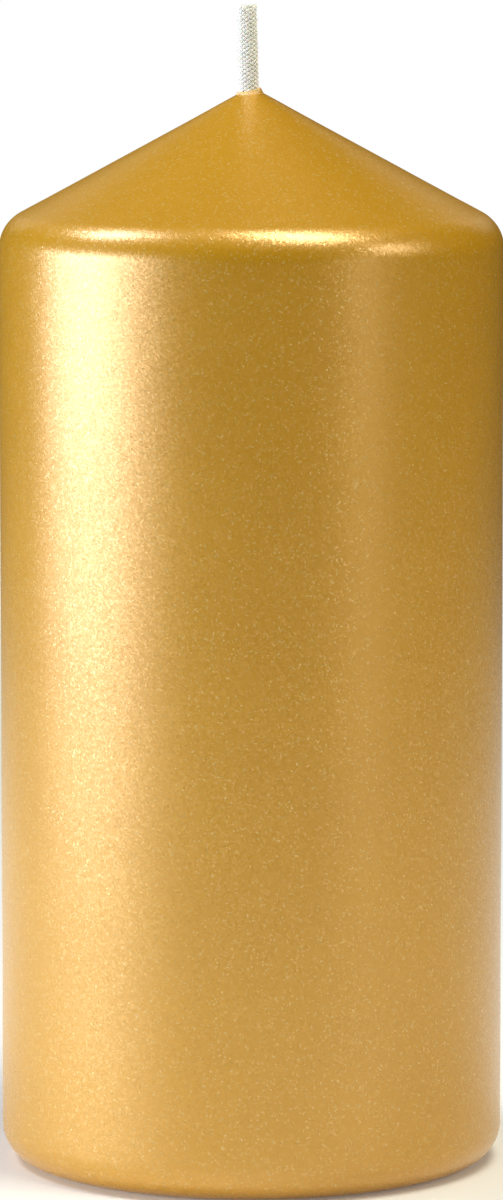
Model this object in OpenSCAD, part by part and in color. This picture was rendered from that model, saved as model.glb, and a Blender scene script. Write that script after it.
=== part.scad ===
// Pillar candle with a conical top: a pressed wax core in a dyed over-dip and a gold lacquer,
// with a round braided wick that a crimped metal tab holds in the base.
// Millimetres, +Z up, origin at the centre of the base on the surface the candle stands on.

/* [Body] */
// Diameter over the lacquer
body_d = 70; // [60:1:90]
// Height of the cone's theoretical point above the base
tip_h = 150; // [100:5:200]
// Slope of the cone, in degrees from the horizontal
cone_slope = 28.5; // [24:0.5:32]
// Radius between the wall and the cone
shoulder_r = 5.5; // [4:0.5:8]
// Radius between the wall and the base
foot_r = 5; // [4:0.5:6]

/* [Layers] */
// Thickness of the gold lacquer
lacquer_t = 0.15; // [0.1:0.05:0.3]
// Thickness of the dyed over-dip on the wall and the cone
overdip_t = 1.6; // [1:0.1:2.2]
// Radius on the pressed core's bottom edge, where the dips run together
core_foot_r = 6.5; // [6:0.5:8]

/* [Wick] */
// Diameter of the braided wick
wick_d = 2.8; // [2.4:0.1:3.2]
// Thickness of the braided sheath
sheath_t = 0.6; // [0.5:0.05:0.7]
// Diameter of each straight yarn inside the sheath
yarn_d = 0.52; // [0.3:0.02:0.52]
// Height of the wick's cut end above the cone's theoretical point
wick_above_tip = 11.5; // [6:0.5:20]
// Depth below the cone's theoretical point at which the wick starts to lean
lean_depth = 28; // [20:1:60]
// Lean of the wick at its cut end, in degrees
wick_lean = 1.9; // [1:0.1:2.2]

/* [Collar] */
// Diameter of the dipped collar's rim at the foot of the wick
collar_d = 3.5; // [3.4:0.1:4.2]
// Height of the rim's highest point above the cone's theoretical point
collar_rise = 0.2; // [0:0.1:1]
// Slope of the rim, in degrees, down towards the side that the wick leans to
rim_slope = 17; // [0:1:17]
// Taper of the collar's flank, in degrees from the vertical
collar_taper = 20; // [15:1:30]

/* [Wick tab] */
// Diameter of the hole drilled through the core
bore_d = 4.4; // [4.4:0.1:5.5]
// Diameter of the tab's disc
tab_d = 20; // [15:1:22]
// Sheet thickness of the tab
tab_t = 0.3; // [0.2:0.05:0.4]
// Height of the tab's neck above its disc
neck_h = 9; // [7:0.5:12]
// Depth that the crimping jaws press into the neck
crimp_depth = 0.45; // [0.3:0.05:0.5]

/* [Base] */
// Diameter of the shallow recess that the tab sits in
recess_d = 24; // [24:1:30]
// Depth of the recess
recess_h = 1.5; // [1:0.1:2]

/* [Hidden] */

$fn = 96;
cut = 0.5; // how far a cutting solid runs past the face it opens

body_r = body_d / 2;
wick_r = wick_d / 2;
bore_r = bore_d / 2;
core_inset = lacquer_t + overdip_t;

// The shoulder's arc touches the wall and the cone, and this is the height of its centre.
shoulder_x = body_r - shoulder_r;
shoulder_z = tip_h - (shoulder_r + shoulder_x * sin(cone_slope)) / cos(cone_slope);

tab_z = recess_h - tab_t;               // underside of the tab's disc, and the wick's lower end
neck_clearance = 0.05;
neck_in_r = wick_r + neck_clearance;
neck_out_r = neck_in_r + tab_t;
neck_bend_r = bore_r - neck_out_r;      // the drawn bend fills the mouth of the bore
crimp_z = recess_h + neck_h * 0.6;
crimp_jaw_r = 1;
crimp_jaw_w = 2.4;

// The wick runs straight up the bore, and then along an arc to its cut end.
lean_z = tip_h - lean_depth;
wick_top = tip_h + wick_above_tip;
lean_r = (wick_top - lean_z) / sin(wick_lean) - wick_r;
wick_exit_x = sqrt(lean_r * lean_r - lean_depth * lean_depth) - lean_r;
collar_h = 3;                           // deep enough to root the collar in the cone
yarn_gap = 0.01;
yarn_pitch = yarn_d + yarn_gap;

seal_d = 16.4;                          // bare middle of the tab inside the ring of sealing wax
seal_z = 0.5;

// Half outline of a dipped or pressed body. The cone, the shoulder and the wall lie inset inside the
// lacquer's outer face, and the foot is an arc of radius arc_r about [arc_x, arc_z].
module half_outline(inset, arc_x, arc_z, arc_r) {
    wall_x = body_r - inset;
    arc = shoulder_r - inset;
    touch = [shoulder_x + arc * sin(cone_slope), shoulder_z + arc * cos(cone_slope)];
    square([arc_x, arc_z]);
    intersection() {
        translate([arc_x, arc_z]) circle(arc_r);
        square([body_r, tip_h]);
    }
    translate([0, arc_z]) square([wall_x, shoulder_z - arc_z]);
    intersection() {
        translate([shoulder_x, shoulder_z]) circle(arc);
        square([body_r, tip_h]);
    }
    polygon([
        [0, shoulder_z], [shoulder_x, shoulder_z], touch,
        [0, touch.y + touch.x * tan(cone_slope)]
    ]);
}

// Solid inside a dipped layer's outer face, with the collar that the dip leaves round the wick.
module dipped_body(inset) {
    rim_r = collar_d / 2;
    rotate_extrude() half_outline(inset, body_r - foot_r, foot_r, foot_r - inset);
    translate([wick_exit_x, 0, tip_h + collar_rise]) intersection() {
        translate([0, 0, -collar_h])
            cylinder(h = collar_h + cut, r1 = rim_r + collar_h * tan(collar_taper) - inset,
                r2 = rim_r - cut * tan(collar_taper) - inset);
        translate([rim_r, 0, 0]) rotate([0, -rim_slope, 0])
            translate([-3 * rim_r, -2 * rim_r, -2 * collar_h])
                cube([4 * rim_r, 4 * rim_r, 2 * collar_h]);
    }
}

module core_outline() {
    half_outline(core_inset, body_r - core_inset - core_foot_r, core_foot_r, core_foot_r);
}

// Sweeps a flat section up the bore and along the arc to the cut end.
module along_wick() {
    translate([0, 0, tab_z]) linear_extrude(lean_z - tab_z) children();
    translate([-lean_r, 0, lean_z]) rotate([90, 0, 0])
        rotate_extrude(angle = wick_lean) translate([lean_r, 0]) children();
}

module wick_envelope() {
    along_wick() circle(wick_r);
}

// Four jaws' worth of dents round the neck. grow = 0 gives the metal's outer face, and
// grow = tab_t gives its inner face, which bites into the wick.
module crimp_dents(grow) {
    reach = neck_out_r - crimp_depth + crimp_jaw_r;
    for (turn = [0 : 90 : 270])
        rotate(turn) translate([reach, 0, crimp_z]) rotate([90, 0, 0])
            cylinder(h = crimp_jaw_w, r = crimp_jaw_r + grow, center = true);
}

module wax_core() {
    color("ivory") difference() {
        rotate_extrude() core_outline();
        cylinder(h = tip_h, r = bore_r);
        translate([0, 0, -cut]) cylinder(h = recess_h + cut, d = recess_d);
    }
}

module overdip_skin() {
    color("goldenrod") difference() {
        dipped_body(lacquer_t);
        rotate_extrude() core_outline();
        wick_envelope();
    }
}

module gold_lacquer() {
    color("darkgoldenrod") difference() {
        dipped_body(0);
        dipped_body(lacquer_t);
        wick_envelope();
    }
}

// Wax that fills the drilled hole round the tab's neck and the wick.
module channel_wax() {
    color("oldlace") difference() {
        intersection() {
            rotate_extrude() core_outline();
            translate([0, 0, recess_h]) cylinder(h = tip_h, r = bore_r);
        }
        difference() {
            translate([0, 0, recess_h - cut]) cylinder(h = neck_h + cut, r = neck_out_r);
            crimp_dents(0);
        }
        translate([0, 0, recess_h]) rotate_extrude() neck_bend_outline();
        wick_envelope();
    }
}

module wick_sheath() {
    color("white") difference() {
        along_wick() difference() {
            circle(wick_r);
            circle(wick_r - sheath_t);
        }
        crimp_dents(tab_t);
    }
}

// Six straight yarns laid round a seventh.
module wick_core_yarns() {
    color("linen") along_wick() {
        circle(yarn_d / 2);
        for (turn = [0 : 60 : 300])
            rotate(turn) translate([yarn_pitch, 0]) circle(yarn_d / 2);
    }
}

// The solid corner that the drawn bend takes up between the neck and the disc.
module neck_bend_outline() {
    difference() {
        translate([neck_out_r - tab_t, 0]) square([neck_bend_r + tab_t, neck_bend_r]);
        translate([bore_r, neck_bend_r]) circle(neck_bend_r);
    }
}

// One stamping: a disc drawn up into a neck, with four crimps that grip the wick.
module wick_sustainer() {
    bend_out_r = neck_bend_r + tab_t;
    color("silver") difference() {
        union() {
            rotate_extrude() {
                translate([bore_r, tab_z]) square([tab_d / 2 - bore_r, tab_t]);
                intersection() {
                    translate([bore_r, recess_h + neck_bend_r]) difference() {
                        circle(bend_out_r);
                        circle(neck_bend_r);
                    }
                    translate([neck_in_r, tab_z]) square(bend_out_r);
                }
                translate([neck_in_r, recess_h + neck_bend_r]) square([tab_t, neck_h - neck_bend_r]);
            }
            intersection() {
                crimp_dents(tab_t);
                cylinder(h = recess_h + neck_h, r = neck_out_r);
            }
        }
        crimp_dents(0);
    }
}

// Ring of wax poured over the edge of the tab to lock it in the recess.
module base_seal() {
    recess_r = recess_d / 2;
    seal_r = seal_d / 2;
    color("wheat") rotate_extrude() difference() {
        translate([seal_r, seal_z]) square([recess_r - seal_r, recess_h - seal_z]);
        translate([0, tab_z]) square([tab_d / 2, tab_t + cut]);
        translate([seal_r, seal_z]) circle(tab_z - seal_z);
    }
}

wax_core();
overdip_skin();
gold_lacquer();
channel_wax();
wick_sheath();
wick_core_yarns();
wick_sustainer();
base_seal();
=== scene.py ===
"""Gold pillar candle: detailed lacquer, over-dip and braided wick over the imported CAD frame."""

import math

import bpy
import numpy as np
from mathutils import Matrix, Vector


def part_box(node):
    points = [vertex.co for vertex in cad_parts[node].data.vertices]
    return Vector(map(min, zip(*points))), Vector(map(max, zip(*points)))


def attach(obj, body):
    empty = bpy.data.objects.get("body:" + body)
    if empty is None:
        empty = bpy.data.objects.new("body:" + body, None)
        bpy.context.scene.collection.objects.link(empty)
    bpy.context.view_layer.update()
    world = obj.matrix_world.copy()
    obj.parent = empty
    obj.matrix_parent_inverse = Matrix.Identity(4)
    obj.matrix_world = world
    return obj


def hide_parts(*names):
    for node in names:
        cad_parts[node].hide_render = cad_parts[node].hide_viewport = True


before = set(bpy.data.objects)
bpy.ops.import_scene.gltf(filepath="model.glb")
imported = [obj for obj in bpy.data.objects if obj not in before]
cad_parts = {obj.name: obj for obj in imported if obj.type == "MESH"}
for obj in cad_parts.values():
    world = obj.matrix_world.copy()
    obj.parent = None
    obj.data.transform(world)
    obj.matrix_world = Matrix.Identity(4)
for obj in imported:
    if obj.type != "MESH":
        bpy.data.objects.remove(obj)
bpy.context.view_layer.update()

MM = 0.001

# ---------------------------------------------------------------- dimensions, in millimetres
BODY_HIGH = np.array(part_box("gold_lacquer")[1]) / MM
WICK_LOW, WICK_HIGH = (np.array(c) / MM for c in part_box("wick_sheath"))
BODY_R = float(BODY_HIGH[0])
TIP_Z = float(BODY_HIGH[2]) - 0.2  # the cone's theoretical point; the collar's rim is 0.2 above it
SLOPE = math.radians(28.5)
SHOULDER_R = 5.5
FOOT_R = 5.0
LACQUER_T = 0.15
OVERDIP_T = 1.6
CORE_FOOT_R = 6.5
SHOULDER_X = BODY_R - SHOULDER_R
SHOULDER_Z = TIP_Z - (SHOULDER_R + SHOULDER_X * math.sin(SLOPE)) / math.cos(SLOPE)

WICK_R = 1.4
WICK_FOOT_Z = float(WICK_LOW[2])
WICK_TOP_Z = float(WICK_HIGH[2])
LEAN_Z = TIP_Z - 28.0
LEAN = math.radians(1.9)
LEAN_R = (WICK_TOP_Z - LEAN_Z) / math.sin(LEAN) - WICK_R
WICK_LENGTH_Z = LEAN_Z + LEAN_R * LEAN  # the cut end, measured along the wick's own axis
WICK_EXIT_X = math.sqrt(LEAN_R**2 - (TIP_Z - LEAN_Z) ** 2) - LEAN_R


# ---------------------------------------------------------------- mesh helpers
def add_mesh(name, verts, faces):
    """A smooth-shaded mesh object from millimetre vertices and lists of corners."""
    mesh = bpy.data.meshes.new(name)
    mesh.from_pydata((verts * MM).tolist(), [], faces)
    mesh.validate()
    mesh.polygons.foreach_set("use_smooth", [True] * len(mesh.polygons))
    mesh.update()
    obj = bpy.data.objects.new(name, mesh)
    bpy.context.scene.collection.objects.link(obj)
    return obj


def grid_faces(rows, cols, wrap_rows=False):
    """Quads of a grid that is closed across its columns, and along its rows if wrap_rows."""
    i = np.arange(rows if wrap_rows else rows - 1)[:, None]
    j = np.arange(cols)[None, :]
    i2, j2 = (i + 1) % rows, (j + 1) % cols
    quads = np.stack([i * cols + j, i * cols + j2, i2 * cols + j2, i2 * cols + j], axis=-1)
    return quads.reshape(-1, 4).tolist()


def smoothstep(x):
    """0 below 0, 1 above 1, and an eased curve between."""
    x = np.clip(x, 0.0, 1.0)
    return x * x * (3 - 2 * x)


def ripple(seed, theta, s, count, turns, pitch):
    """Smooth noise of about unit size over angle and length, with waves no shorter than pitch."""
    rng = np.random.RandomState(seed)
    total = np.zeros(np.broadcast(theta, s).shape)
    for _ in range(count):
        n = rng.randint(0, turns + 1)
        k = rng.uniform(-1, 1) * 2 * math.pi / pitch
        total += np.cos(n * theta + k * s + rng.uniform(0, 2 * math.pi))
    return total / math.sqrt(count)


# ---------------------------------------------------------------- the dipped body's outline
def arc(cx, cz, radius, start, end, count):
    """Points (r, z) of an arc about (cx, cz); angle 0 points down and a quarter turn points out."""
    angle = np.linspace(start, end, count)
    return [(cx + radius * math.sin(a), cz - radius * math.cos(a)) for a in angle]


def outline(inset, foot_count=22, wall_count=62, shoulder_count=18, cone_count=44):
    """Points of the dipped outline from the foot's inner edge up the wall to the cone's last ring."""
    foot_x = BODY_R - FOOT_R
    points = arc(foot_x, FOOT_R, FOOT_R - inset, 0, math.pi / 2, foot_count)
    wall = np.linspace(FOOT_R, SHOULDER_Z, wall_count)[1:-1]
    points += [(BODY_R - inset, z) for z in wall]
    arc_r = SHOULDER_R - inset
    points += arc(SHOULDER_X, SHOULDER_Z, arc_r, math.pi / 2, math.pi - SLOPE, shoulder_count)
    touch_r = points[-1][0]
    for t in np.linspace(0, 1, cone_count)[1:]:
        r = touch_r + (CONE_END_R - touch_r) * (1 - (1 - t) ** 1.6)
        points.append((r, cone_z(r, inset)))
    return np.array(points)


def cone_z(r, inset):
    """Height of the cone's face, or of a layer inset inside it, at radius r."""
    return TIP_Z - inset / math.cos(SLOPE) - r * math.tan(SLOPE)


# ---------------------------------------------------------------- the collar at the wick's foot
COLLAR_OUT_R = 2.2  # where the collar leaves the cone, from the wick's axis
COLLAR_RIM_R = 1.56
CONE_END_R = COLLAR_OUT_R + 0.02  # the cone's last ring, just outside the collar's first
SEGMENTS = 256
DRIFT_R = 7.0  # inside this radius the cone's rings drift over to the wick's axis
THETA = np.arange(SEGMENTS) * 2 * math.pi / SEGMENTS


def collar_height(theta):
    """How far the over-dip's collar climbs above the cone: high on the +X side, low opposite."""
    jag = 0.05 * ripple(3, theta, 0.0, 9, 23, 1.0)
    return 0.42 + 0.15 * np.cos(theta + 0.15) + 0.05 * np.cos(2 * theta) + jag


def collar_lacquered(theta):
    """How far up the collar the lacquer still holds, from 0 at the cone to 1 at the rim."""
    jag = 0.10 * ripple(8, theta, 0.0, 8, 31, 1.0) + 0.05 * ripple(9, theta, 0.0, 5, 60, 1.0)
    side = smoothstep((np.cos(theta - 0.25) - 0.55) / 0.35)
    return np.clip(0.56 + 0.40 * side + 0.10 * (np.sin(theta) > 0) + jag, 0.15, 0.97)


def collar_ring(theta, t, out):
    """Points of the collar's surface at height fraction t, pushed out by out."""
    t = np.broadcast_to(t, theta.shape)
    r = COLLAR_OUT_R + (COLLAR_RIM_R - COLLAR_OUT_R) * t
    x = WICK_EXIT_X + r * np.cos(theta)
    y = r * np.sin(theta)
    z = cone_z(np.hypot(x, y), LACQUER_T) + (collar_height(theta) + 0.06) * t**2.4
    steep = smoothstep(t * 1.5)  # the push turns from the cone's normal to level
    level, up = math.sin(SLOPE) * (1 - steep) + steep, math.cos(SLOPE) * (1 - steep)
    pushed = [x + out * level * np.cos(theta), y + out * level * np.sin(theta), z + out * up]
    return np.stack(pushed, axis=-1)


def body_rings(inset, dent):
    """Rings of a dipped skin below the collar. dent is how deep its slow ripples go."""
    points = outline(inset)
    steps = np.hypot(*np.diff(points, axis=0).T)
    along = np.concatenate([[0], np.cumsum(steps)])
    rings = []
    for (r, z), s in zip(points, along):
        wave = 0.5 + 0.28 * ripple(21, THETA, s, 10, 5, 26.0)
        deep = dent * np.clip(wave, 0.3, 1) * smoothstep((s - 3) / 10) * smoothstep((along[-1] - s) / 8)
        shift = WICK_EXIT_X * smoothstep((DRIFT_R - r) / (DRIFT_R - COLLAR_OUT_R))
        x, y = shift + (r - deep) * np.cos(THETA), (r - deep) * np.sin(THETA)
        if r < SHOULDER_X and z > SHOULDER_Z:
            height = cone_z(np.hypot(x, y), inset) - deep
        else:
            height = np.full(SEGMENTS, z)
        rings.append(np.stack([x, y, height], axis=-1))
    return rings


def build_lacquer():
    """The lacquer film as a closed shell: outside, broken rim at the wick, inside, and cut edge."""
    film = LACQUER_T * 0.8
    top = collar_lacquered(THETA)
    outer = body_rings(0.0, 0.07)
    inner = body_rings(LACQUER_T, 0.0)
    steps = np.linspace(0.04, 1, 18)
    climb = [collar_ring(THETA, top * t, film * (1 - 0.55 * t**3) + 0.025) for t in steps]
    back = [collar_ring(THETA, top * t, 0.012) for t in steps[::-1]]
    rings = outer + climb + back + inner[::-1]
    verts = np.concatenate(rings)
    return add_mesh("lacquer_film", verts, grid_faces(len(rings), SEGMENTS, wrap_rows=True))


def build_overdip():
    """The honey-coloured over-dip: the jacket inside the lacquer, and its own rim round the wick."""
    jacket = body_rings(LACQUER_T + 0.03, 0.0)
    base_r = BODY_R - FOOT_R
    base = np.stack([base_r * np.cos(THETA), base_r * np.sin(THETA), 0 * THETA], -1)
    crumb = 0.05 * ripple(31, THETA, 0.0, 12, 70, 1.0)
    steps = np.linspace(0.03, 1, 26)
    climb = [collar_ring(THETA, t, -0.012 + crumb * smoothstep((t - 0.3) / 0.3)) for t in steps]
    rim = collar_ring(THETA, 1.0, 0.0)
    centre = np.array([WICK_EXIT_X, 0, 0])
    lip = []
    for pull, lift in ((0.03, 0.035), (0.09, 0.03), (0.14, -0.02), (0.2, -0.25), (0.2, -1.6)):
        ring = rim.copy()
        ring[:, :2] = centre[:2] + (rim[:, :2] - centre[:2]) * (1 - pull / COLLAR_RIM_R)
        ring[:, 2] = rim[:, 2] + lift
        lip.append(ring)
    core_inset = LACQUER_T + OVERDIP_T
    core_x = BODY_R - core_inset - CORE_FOOT_R
    inside = arc(core_x, CORE_FOOT_R, CORE_FOOT_R, 0, math.pi / 2, 14)
    inside += [(BODY_R - core_inset, z) for z in np.linspace(CORE_FOOT_R, SHOULDER_Z, 12)[1:-1]]
    shoulder_r = SHOULDER_R - core_inset
    inside += arc(SHOULDER_X, SHOULDER_Z, shoulder_r, math.pi / 2, math.pi - SLOPE, 9)
    inside += [(r, cone_z(r, core_inset)) for r in np.linspace(inside[-1][0], 1.9, 14)[1:]]
    around = np.cos(THETA), np.sin(THETA)
    inner = [np.stack([r * around[0], r * around[1], np.full(SEGMENTS, z)], -1) for r, z in inside]
    rings = [base] + jacket + climb + lip + inner[::-1]
    faces = grid_faces(len(rings), SEGMENTS, wrap_rows=True)
    return add_mesh("overdip_jacket", np.concatenate(rings), faces)


# ---------------------------------------------------------------- the wick
def lean(points):
    """Bends points laid along a straight wick onto the candle's leaning one."""
    p = np.array(points, dtype=float)
    turn = np.clip(p[..., 2] - LEAN_Z, 0, None) / LEAN_R
    bent = p[..., 2] > LEAN_Z
    reach = LEAN_R + p[..., 0]
    x = np.where(bent, reach * np.cos(turn) - LEAN_R, p[..., 0])
    z = np.where(bent, LEAN_Z + reach * np.sin(turn), p[..., 2])
    return np.stack([x, p[..., 1], z], axis=-1)


def tube(path, outward, half_w, half_t, sides, plies=0, lay=1.0, depth=0.0):
    """A closed tube of oval section along path, its width lying across outward."""
    path, outward = np.asarray(path, float), np.asarray(outward, float)
    tangent = np.gradient(path, axis=0)
    tangent /= np.linalg.norm(tangent, axis=1)[:, None]
    across = np.cross(tangent, outward)
    across /= np.linalg.norm(across, axis=1)[:, None]
    out = np.cross(across, tangent)
    s = np.concatenate([[0], np.cumsum(np.linalg.norm(np.diff(path, axis=0), axis=1))])
    phi = np.arange(sides) * 2 * math.pi / sides
    twist = s[:, None] * math.pi * plies / lay
    lobe = 1 - depth + depth * np.abs(np.cos(0.5 * plies * phi[None, :] - twist))
    half_w, half_t = np.broadcast_to(half_w, s.shape), np.broadcast_to(half_t, s.shape)
    a = (half_w[:, None] * np.cos(phi)) * lobe
    b = (half_t[:, None] * np.sin(phi)) * lobe
    rings = path[:, None] + a[..., None] * across[:, None] + b[..., None] * out[:, None]
    verts = np.concatenate([rings.reshape(-1, 3), path[:1], path[-1:]])
    quads = grid_faces(len(path), sides)
    n, j = len(path) * sides, np.arange(sides)
    j2 = (j + 1) % sides
    low = np.stack([j2, j, np.full(sides, n)], -1)
    high = np.stack([j + n - sides, j2 + n - sides, np.full(sides, n + 1)], -1)
    return verts, [*quads, *low.tolist(), *high.tolist()]


def add_tubes(name, parts):
    """One mesh object from several tubes."""
    verts, faces, first = [], [], 0
    for v, f in parts:
        verts.append(v)
        faces += [[i + first for i in face] for face in f]
        first += len(v)
    return add_mesh(name, np.concatenate(verts), faces)


CARRIERS = 8  # yarns each way round
BRAID_R = 1.08
BRAID_WAVE = 0.14
BRAID_PITCH = 4.6  # height of one full turn where the wick is free
FREE_YARN = (0.225, 0.15)  # half width and half thickness of a yarn where the wick is free
HELD_YARN = (0.33, 0.14)  # the same inside the wax
FREE_Z = TIP_Z - 4.0  # where the finer braid begins


def braid_path(index, way, low, high, per_crossing, pitch):
    """Centre line and outward direction of one braid yarn, from low to high along the wick."""
    count = max(8, int((high - low) / pitch * 2 * CARRIERS * per_crossing))
    z = np.linspace(low, high, count)
    turn = 2 * math.pi * z / pitch
    theta = 2 * math.pi * index / CARRIERS + way * turn
    r = BRAID_R + way * BRAID_WAVE * np.cos(CARRIERS * turn)
    outward = np.stack([np.cos(theta), np.sin(theta), 0 * theta], -1)
    path = outward * r[:, None]
    path[:, 2] = z
    return path, outward


def build_sheath():
    """Sixteen yarns in a one-over-one braid: plied where the wick is free, plainer in the wax."""
    rng = np.random.RandomState(5)
    parts = []
    for way in (1, -1):
        for i in range(CARRIERS):
            end = WICK_LENGTH_Z - 0.35 - 0.45 * rng.rand()
            path, out = braid_path(i, way, FREE_Z, end, 6, BRAID_PITCH)
            tail = smoothstep((path[:, 2] - (end - 0.8)) / 0.8)  # the cut ends open a little
            path[:, :2] *= (1 + 0.05 * tail * rng.uniform(-1.0, 1.2))[:, None]
            half_w = FREE_YARN[0] * (1 + 0.06 * ripple(40 + i + 9 * way, 0.0, path[:, 2], 4, 0, 2.0))
            parts.append(tube(lean(path), out, half_w, FREE_YARN[1], 12, plies=3, lay=1.5, depth=0.14))
            path, out = braid_path(i, way, WICK_FOOT_Z + 0.02, FREE_Z - 0.01, 2, 2 * BRAID_PITCH)
            parts.append(tube(lean(path), out, *HELD_YARN, 6))
    return add_tubes("wick_braid", parts)


def build_core_yarns():
    """Seven straight yarns, their cut ends uneven and slightly open."""
    rng = np.random.RandomState(11)
    parts = []
    places = [(0.0, 0.0)] + [(0.5 * math.cos(a), 0.5 * math.sin(a)) for a in np.arange(6) * math.pi / 3]
    for x, y in places:
        end = WICK_LENGTH_Z - 0.12 - 0.4 * rng.rand()
        z = np.concatenate([np.linspace(WICK_FOOT_Z + 0.02, TIP_Z, 60), np.linspace(TIP_Z, end, 50)[1:]])
        open_end = smoothstep((z - (end - 1.2)) / 1.2) * 0.25
        path = np.stack([x * (1 + open_end), y * (1 + open_end), z], -1)
        out = np.tile([1.0, 0.0, 0.0], (len(z), 1))
        parts.append(tube(lean(path), out, 0.24, 0.24, 9, plies=3, lay=2.2, depth=0.14))
    return add_tubes("core_yarns", parts)


def build_fibres():
    """Loose cotton fibres: a soft nap along the free braid, and a tuft at the cut end."""
    rng = np.random.RandomState(17)
    parts = []
    for _ in range(150):
        theta, z0 = rng.uniform(0, 2 * math.pi), rng.uniform(TIP_Z + 0.2, WICK_LENGTH_Z - 0.7)
        length = rng.uniform(0.35, 1.0)
        t = np.linspace(0, 1, 7)
        rise, swing = rng.uniform(-0.7, 1.0), rng.uniform(-0.9, 0.9)
        lift = rng.uniform(0.06, 0.24) * np.sin(math.pi * t * rng.uniform(0.55, 1.0))
        angle = theta + swing * length * t / WICK_R
        r = WICK_R - 0.07 + lift
        z = z0 + rise * length * t
        path = np.stack([r * np.cos(angle), r * np.sin(angle), z], -1)
        path[:, 2] = np.minimum(path[:, 2], WICK_LENGTH_Z - 0.06)
        out = np.stack([np.cos(angle), np.sin(angle), 0 * angle], -1)
        parts.append(tube(lean(path), out, 0.013, 0.013, 4))
    for _ in range(170):
        theta, r0 = rng.uniform(0, 2 * math.pi), WICK_R * 0.93 * math.sqrt(rng.rand())
        length = rng.uniform(0.5, 1.15)
        t = np.linspace(0, 1, 6)
        angle = theta + rng.uniform(-0.3, 0.3) * t
        r = r0 * (1 + rng.uniform(-0.05, 0.14) * t**2)
        top = WICK_LENGTH_Z - 0.05 - 0.5 * rng.rand() ** 1.5
        path = np.stack([r * np.cos(angle), r * np.sin(angle), top - length * (1 - t)], -1)
        out = np.stack([np.cos(angle), np.sin(angle), 0 * angle], -1)
        parts.append(tube(lean(path), out, 0.016, 0.016, 4))
    return add_tubes("wick_fibres", parts)


def on_body(azimuth, z, lift=0.0):
    """Point on the dipped outline at a height; azimuth is in degrees from the front towards +X."""
    if z < FOOT_R:
        cx, cz, radius = BODY_R - FOOT_R, FOOT_R, FOOT_R
    else:
        cx, cz, radius = SHOULDER_X, SHOULDER_Z, SHOULDER_R
    side = math.sqrt(radius**2 - (z - cz) ** 2) / radius
    r, z = cx + (radius + lift) * side, cz + (z - cz) * (radius + lift) / radius
    a = math.radians(azimuth)
    return np.array([r * math.sin(a), -r * math.cos(a), z])


def build_blemishes():
    """A pimple with a fine crease beside it on the shoulder, and two hairline creases at the foot."""
    parts = []
    pimple = ((-7.15, 3.726), (-6.55, 3.726))  # azimuth in degrees, height in millimetres above base_z
    crease = ((-5.9, 3.776), (-4.4, 3.576), (-2.4, 3.276), (-1.0, 2.776), (0.4, 2.476))
    foot_1 = ((18.2, 4.5), (20.0, 4.25), (21.4, 4.15), (23.2, 3.95))
    foot_2 = ((43.0, 4.2), (45.5, 4.45), (48.0, 4.5), (51.5, 4.75))
    for base_z, stops, half_w, half_t in (
        (SHOULDER_Z, pimple, 0.20, 0.15),
        (SHOULDER_Z, crease, 0.06, 0.035),
        (0.0, foot_1, 0.05, 0.03),
        (0.0, foot_2, 0.05, 0.03),
    ):
        t = np.linspace(0, 1, 24)
        knots = np.linspace(0, 1, len(stops))
        azimuth = np.interp(t, knots, [a for a, _ in stops])
        height = base_z + np.interp(t, knots, [h for _, h in stops])
        path = np.array([on_body(a, h, -0.085) for a, h in zip(azimuth, height)])
        out = np.array([on_body(a, h, 1.0) - on_body(a, h) for a, h in zip(azimuth, height)])
        path += out * (half_t * 0.15)
        swell = np.sqrt(np.clip(1 - (2 * t - 1) ** 2, 0.0004, 1))
        parts.append(tube(path, out, half_w * swell, half_t * swell, 10))
    return add_tubes("lacquer_blemishes", parts)


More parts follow.
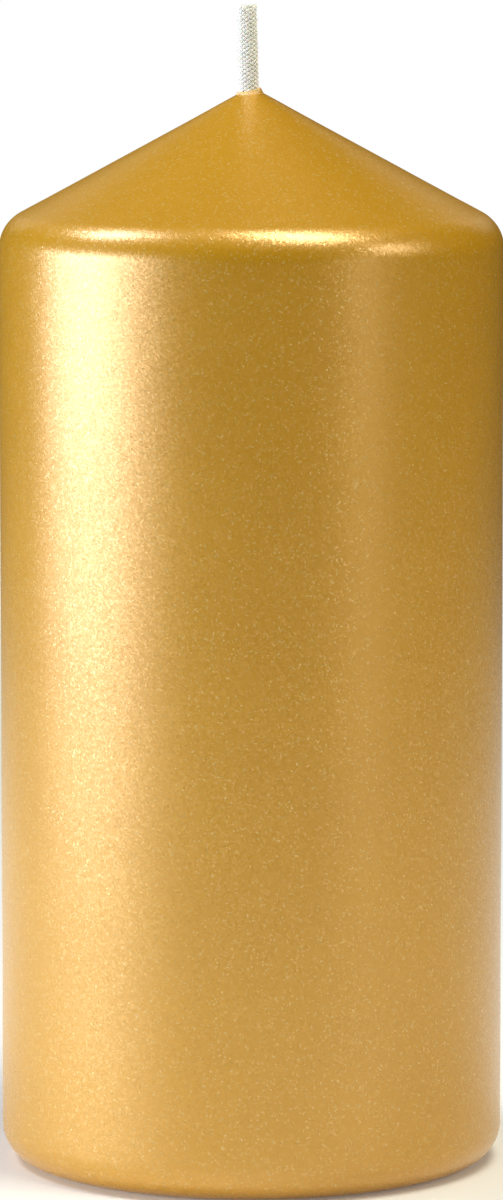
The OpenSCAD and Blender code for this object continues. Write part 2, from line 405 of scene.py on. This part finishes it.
# ---------------------------------------------------------------- materials
class Shader:
    """A Principled material and short calls for the nodes that feed it."""

    def __init__(self, name, **values):
        self.mat = bpy.data.materials.new(name)
        self.mat.use_nodes = True
        self.tree = self.mat.node_tree
        self.bsdf = self.tree.nodes["Principled BSDF"]
        for key, value in values.items():
            self.bsdf.inputs[key.replace("_", " ")].default_value = value
        self.object = self.node("ShaderNodeTexCoord").outputs["Object"]

    def node(self, kind, inputs=None, **settings):
        n = self.tree.nodes.new(kind)
        for key, value in settings.items():
            setattr(n, key, value)
        for key, value in (inputs or {}).items():
            if isinstance(value, bpy.types.NodeSocket):
                self.tree.links.new(value, n.inputs[key])
            else:
                n.inputs[key].default_value = value
        return n

    def math(self, operation, a, b=0.0, c=0.0):
        return self.node("ShaderNodeMath", {0: a, 1: b, 2: c}, operation=operation).outputs[0]

    def vector(self, operation, a, b=(0, 0, 0), scale=1.0):
        n = self.node("ShaderNodeVectorMath", {0: a, 1: b}, operation=operation)
        if operation == "SCALE":
            if isinstance(scale, bpy.types.NodeSocket):
                self.tree.links.new(scale, n.inputs["Scale"])
            else:
                n.inputs["Scale"].default_value = scale
        return n.outputs["Value" if operation in ("LENGTH", "DISTANCE", "DOT_PRODUCT") else "Vector"]

    def noise(self, pitch, detail=2.0, rough=0.5, stretch=None):
        """Noise whose features are about pitch millimetres across."""
        where = self.object
        if stretch:
            where = self.vector("MULTIPLY", where, stretch)
        return self.node(
            "ShaderNodeTexNoise",
            {"Vector": where, "Scale": 1 / (pitch * MM), "Detail": detail, "Roughness": rough},
        ).outputs["Fac"]

    def cells(self, pitch):
        """A random colour for each cell about pitch millimetres across."""
        n = self.node("ShaderNodeTexVoronoi", {"Vector": self.object, "Scale": 1 / (pitch * MM)})
        return n.outputs["Color"], n.outputs["Distance"]

    def split(self, colour):
        return self.node("ShaderNodeSeparateColor", {0: colour}).outputs

    def span(self, value, low, high, to_low=0.0, to_high=1.0):
        return self.node(
            "ShaderNodeMapRange", {0: value, 1: low, 2: high, 3: to_low, 4: to_high}, clamp=True
        ).outputs[0]

    def mix(self, factor, a, b):
        n = self.node("ShaderNodeMix", data_type="RGBA")
        for socket, value in ((n.inputs[0], factor), (n.inputs[6], a), (n.inputs[7], b)):
            if isinstance(value, bpy.types.NodeSocket):
                self.tree.links.new(value, socket)
            elif socket == n.inputs[0]:
                socket.default_value = value
            else:
                socket.default_value = (*value, 1)
        return n.outputs[2]

    def bump(self, height, size, normal=None):
        """Turns a height of 0 to 1 into relief of size millimetres."""
        inputs = {"Height": height, "Distance": size * MM, "Strength": 1.0}
        if normal:
            inputs["Normal"] = normal
        return self.node("ShaderNodeBump", inputs).outputs["Normal"]

    def set(self, **sockets):
        for key, value in sockets.items():
            self.tree.links.new(value, self.bsdf.inputs[key.replace("_", " ")])


def gold_lacquer():
    """Pearl-gold lacquer: an ochre body full of fine flakes, each tilted a little, and sparks: flakes
    tilted more and a little smoother, their pale colour a painted glint.
    """
    s = Shader("gold_flake_lacquer", Metallic=0.22, IOR=1.85, Coat_Weight=0.4, Coat_Roughness=0.30)
    normal = s.node("ShaderNodeNewGeometry").outputs["Normal"]
    fine, _ = s.cells(0.17)
    spark, _ = s.cells(0.22)
    shade, pick = s.split(fine), s.split(spark)
    # lit marks the spark flakes: they get more tilt, less roughness and a painted glint in their colour
    lit = s.span(pick[0], 0.88, 0.90)
    tilt = s.math("MULTIPLY_ADD", lit, 0.06, 0.17)
    flake = s.vector("SCALE", s.vector("ADD", fine, spark), scale=0.5)
    flake = s.vector("SUBTRACT", flake, (0.5, 0.5, 0.5))
    flake = s.vector("NORMALIZE", s.vector("ADD", normal, s.vector("SCALE", flake, scale=tilt)))
    slow = s.span(s.noise(16.0, 2.0), 0.3, 0.7)
    tone = s.mix(slow, (0.575, 0.280, 0.002), (0.600, 0.296, 0.003))
    tone = s.mix(s.math("MULTIPLY", shade[1], 0.12), tone, (0.80, 0.48, 0.03))
    # painted glint: the spark flakes' base colour is pulled towards pale cream to stand in for their
    # sparkle
    painted_glint = s.math("MULTIPLY", lit, s.span(pick[1], 0.0, 1.0, 0.06, 0.30))
    tone = s.mix(painted_glint, tone, (0.96, 0.80, 0.38))
    rough = s.span(s.noise(2.4, 2.0), 0.3, 0.7, 0.305, 0.33)
    rough = s.math("SUBTRACT", rough, s.math("MULTIPLY", lit, 0.05))
    s.set(Base_Color=tone, Roughness=rough, Normal=s.bump(s.noise(0.7, 2.0), 0.004, flake))
    return s.mat


def wax(name, colour, pale, deep, grain, relief, rough, scatter):
    """Wax: slightly see-through, faintly mottled; grain and relief are in millimetres."""
    s = Shader(name, Subsurface_Weight=scatter, Subsurface_Scale=0.002, IOR=1.44)
    s.bsdf.inputs["Subsurface Radius"].default_value = (1.0, 0.6, 0.3)
    tone = s.mix(s.span(s.noise(grain * 6, 3.0), 0.3, 0.7), colour, pale)
    tone = s.mix(s.math("MULTIPLY", s.span(s.noise(grain, 2.0), 0.55, 0.8), 0.6), tone, deep)
    s.set(
        Base_Color=tone,
        Roughness=s.span(s.noise(grain * 2, 3.0), 0.3, 0.7, rough - 0.06, rough + 0.08),
        Normal=s.bump(s.noise(grain, 4.0, 0.6), relief),
    )
    return s.mat


def pressed_wax():
    """Core pressed from wax powder: flattened granules with fine dark joints."""
    s = Shader("pressed_wax", Subsurface_Weight=0.35, Subsurface_Scale=0.003, IOR=1.44)
    colour, distance = s.cells(1.3)
    shade = s.split(colour)
    tone = s.mix(shade[0], (0.86, 0.82, 0.72), (0.80, 0.75, 0.63))
    joint = s.span(distance, 0.55, 0.9)
    tone = s.mix(s.math("MULTIPLY", joint, 0.35), tone, (0.66, 0.59, 0.46))
    height = s.math("ADD", s.math("MULTIPLY", joint, -0.6), s.math("MULTIPLY", s.noise(0.4, 3.0), 0.4))
    s.set(Base_Color=tone, Roughness=s.span(shade[1], 0, 1, 0.45, 0.6), Normal=s.bump(height, 0.08))
    return s.mat


def cotton(name, colour, shade):
    """Bleached cotton: a faint change of tone from yarn to yarn, and a fibrous grain."""
    s = Shader(name, Subsurface_Weight=0.15, Subsurface_Scale=0.0006)
    s.bsdf.inputs["Sheen Weight"].default_value = 0.25
    s.bsdf.inputs["Sheen Roughness"].default_value = 0.5
    s.bsdf.inputs["Specular IOR Level"].default_value = 0.25
    streak = s.noise(0.10, 3.0, 0.6, stretch=(1, 1, 0.35))
    tone = s.mix(s.span(s.noise(0.8, 2.0), 0.35, 0.7), colour, shade)
    dark = tuple(c * 0.82 for c in shade)
    tone = s.mix(s.math("MULTIPLY", s.span(streak, 0.5, 0.75), 0.35), tone, dark)
    s.set(Base_Color=tone, Roughness=s.span(streak, 0.3, 0.7, 0.78, 0.95), Normal=s.bump(streak, 0.02))
    return s.mat


def tinplate():
    """Tinned sheet steel: bright, with the spangle and drawing marks of a stamped tab."""
    s = Shader("tinplate", Metallic=1.0)
    spangle, _ = s.cells(2.2)
    scratch = s.noise(0.25, 4.0, 0.7, stretch=(1, 0.06, 1))
    tone = s.mix(s.split(spangle)[0], (0.66, 0.66, 0.65), (0.76, 0.76, 0.74))
    dull = s.math("MULTIPLY", s.span(s.noise(1.2, 3.0), 0.6, 0.8), 0.5)
    tone = s.mix(dull, tone, (0.55, 0.52, 0.46))
    rough = s.math("MULTIPLY", s.split(spangle)[1], 0.06)
    rough = s.math("ADD", s.span(scratch, 0.3, 0.7, 0.22, 0.36), rough)
    s.set(Base_Color=tone, Roughness=rough, Normal=s.bump(scratch, 0.01))
    return s.mat


def dress(obj, material):
    """Gives an object this one material."""
    obj.data.materials.clear()
    obj.data.materials.append(material)


# ---------------------------------------------------------------- pieces
lacquer = build_lacquer()
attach(lacquer, "root")
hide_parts("gold_lacquer")
GOLD = gold_lacquer()
dress(lacquer, GOLD)

blemishes = build_blemishes()
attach(blemishes, "root")
dress(blemishes, GOLD)

overdip = build_overdip()
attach(overdip, "root")
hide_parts("overdip_skin")
dyed = wax("dyed_wax", (0.90, 0.55, 0.22), (0.94, 0.66, 0.34), (0.30, 0.11, 0.04), 0.22, 0.03, 0.38, 0.3)
dress(overdip, dyed)

sheath = build_sheath()
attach(sheath, "root")
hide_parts("wick_sheath")
dress(sheath, cotton("braided_cotton", (0.90, 0.90, 0.87), (0.84, 0.84, 0.80)))

core_yarns = build_core_yarns()
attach(core_yarns, "root")
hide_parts("wick_core_yarns")
dress(core_yarns, cotton("cotton_yarn", (0.88, 0.87, 0.82), (0.82, 0.80, 0.74)))

fibres = build_fibres()
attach(fibres, "root")
dress(fibres, cotton("cotton_fibre", (0.92, 0.91, 0.88), (0.88, 0.87, 0.83)))

clear = wax("clear_wax", (0.88, 0.84, 0.74), (0.92, 0.89, 0.81), (0.80, 0.74, 0.62), 0.6, 0.02, 0.35, 0.4)
seal = wax("sealing_wax", (0.80, 0.72, 0.52), (0.86, 0.79, 0.62), (0.70, 0.60, 0.40), 0.9, 0.05, 0.3, 0.4)
for node, material in (
    ("wax_core", pressed_wax()),
    ("channel_wax", clear),
    ("wick_sustainer", tinplate()),
    ("base_seal", seal),
):
    dress(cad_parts[node], material)

# ---------------------------------------------------------------- floor, light and camera
MIDDLE = Vector((0, 0, TIP_Z * 0.5 * MM))
FLOOR_R = 0.9
FLOOR_GLOW = 0.1  # keeps the shadow on the floor pale
WORLD_FILL = 0.02  # how much the world lights; the camera itself sees it white
PANEL_SIDE = 0.26
PANEL_DISTANCE = 0.8
CAMERA_PLACE = (0.0, -0.8936, 0.1878)
CAMERA_PITCH = math.radians(6.97)  # downwards
CAMERA_LENS = 193.7


def add_floor():
    """A pale round floor that fades out into the white world."""
    just_below = (0, 0, -0.00002)
    bpy.ops.mesh.primitive_circle_add(vertices=128, radius=FLOOR_R, fill_type="NGON", location=just_below)
    floor = bpy.context.object
    floor.name = "floor"
    s = Shader("pale_floor", Roughness=0.6)
    s.bsdf.inputs["Specular IOR Level"].default_value = 0.2
    tone = s.mix(s.noise(40.0, 2.0), (0.86, 0.86, 0.86), (0.88, 0.88, 0.88))
    fade = s.span(s.vector("LENGTH", s.object), 0.35, 0.85, 1.0, 0.0)
    s.bsdf.inputs["Emission Color"].default_value = (1, 1, 1, 1)
    s.bsdf.inputs["Emission Strength"].default_value = FLOOR_GLOW
    s.set(Base_Color=tone, Alpha=fade)
    floor.data.materials.append(s.mat)


def add_panel(name, azimuth, elevation, brightness, colour):
    """A square soft panel round the candle; azimuth runs in degrees from the camera's side to +X."""
    a, e = math.radians(azimuth), math.radians(elevation)
    outward = Vector((math.sin(a) * math.cos(e), -math.cos(a) * math.cos(e), math.sin(e)))
    data = bpy.data.lights.new(name, "AREA")
    data.shape = "RECTANGLE"
    data.size = data.size_y = PANEL_SIDE
    data.energy = brightness * math.pi * PANEL_SIDE**2
    data.color = colour
    light = bpy.data.objects.new(name, data)
    light.location = MIDDLE + PANEL_DISTANCE * outward
    light.rotation_euler = (-outward).to_track_quat("-Z", "Y").to_euler()
    light.visible_camera = False
    bpy.context.scene.collection.objects.link(light)


add_floor()

world = bpy.data.worlds.new("studio")
bpy.context.scene.world = world
world.use_nodes = True
nodes, links = world.node_tree.nodes, world.node_tree.links
back = nodes["Background"]
seen = nodes.new("ShaderNodeBackground")
seen.inputs[0].default_value = (1, 1, 1, 1)
back.inputs[0].default_value = (1, 1, 1, 1)
back.inputs[1].default_value = WORLD_FILL
path = nodes.new("ShaderNodeLightPath")
blend = nodes.new("ShaderNodeMixShader")
links.new(path.outputs["Is Camera Ray"], blend.inputs[0])
links.new(back.outputs[0], blend.inputs[1])
links.new(seen.outputs[0], blend.inputs[2])
links.new(blend.outputs[0], nodes["World Output"].inputs[0])

COOL, WARM = (0.95, 1.0, 1.10), (1.05, 1.0, 0.81)
for name, azimuth, elevation, brightness, colour in (
    ("bank_left_rear", -95, 5, 5.6, COOL),
    ("bank_left_key", -80, 5, 9.0, COOL),
    ("bank_left_mid", -65, 5, 7.8, COOL),
    ("bank_left_front", -50, 5, 2.3, COOL),
    ("high_left", -100, 55, 12.9, COOL),
    ("low_right", 50, 5, 1.5, WARM),
    ("side_right", 70, 30, 5.0, WARM),
    ("high_right", 50, 65, 12.0, WARM),
    ("overhead", 60, 80, 11.4, WARM),
    ("rear_left", -155, 25, 0.4, WARM),
    ("rear_right", 155, 25, 0.4, WARM),
):
    add_panel(name, azimuth, elevation, brightness, colour)

camera_data = bpy.data.cameras.new("camera")
camera_data.lens = CAMERA_LENS
camera_data.sensor_width = 36.0
camera_data.clip_start = 0.02
camera = bpy.data.objects.new("camera", camera_data)
camera.location = CAMERA_PLACE
camera.rotation_euler = (math.pi / 2 - CAMERA_PITCH, 0, 0)
bpy.context.scene.collection.objects.link(camera)
bpy.context.scene.camera = camera
bpy.context.scene.view_settings.view_transform = "Standard"
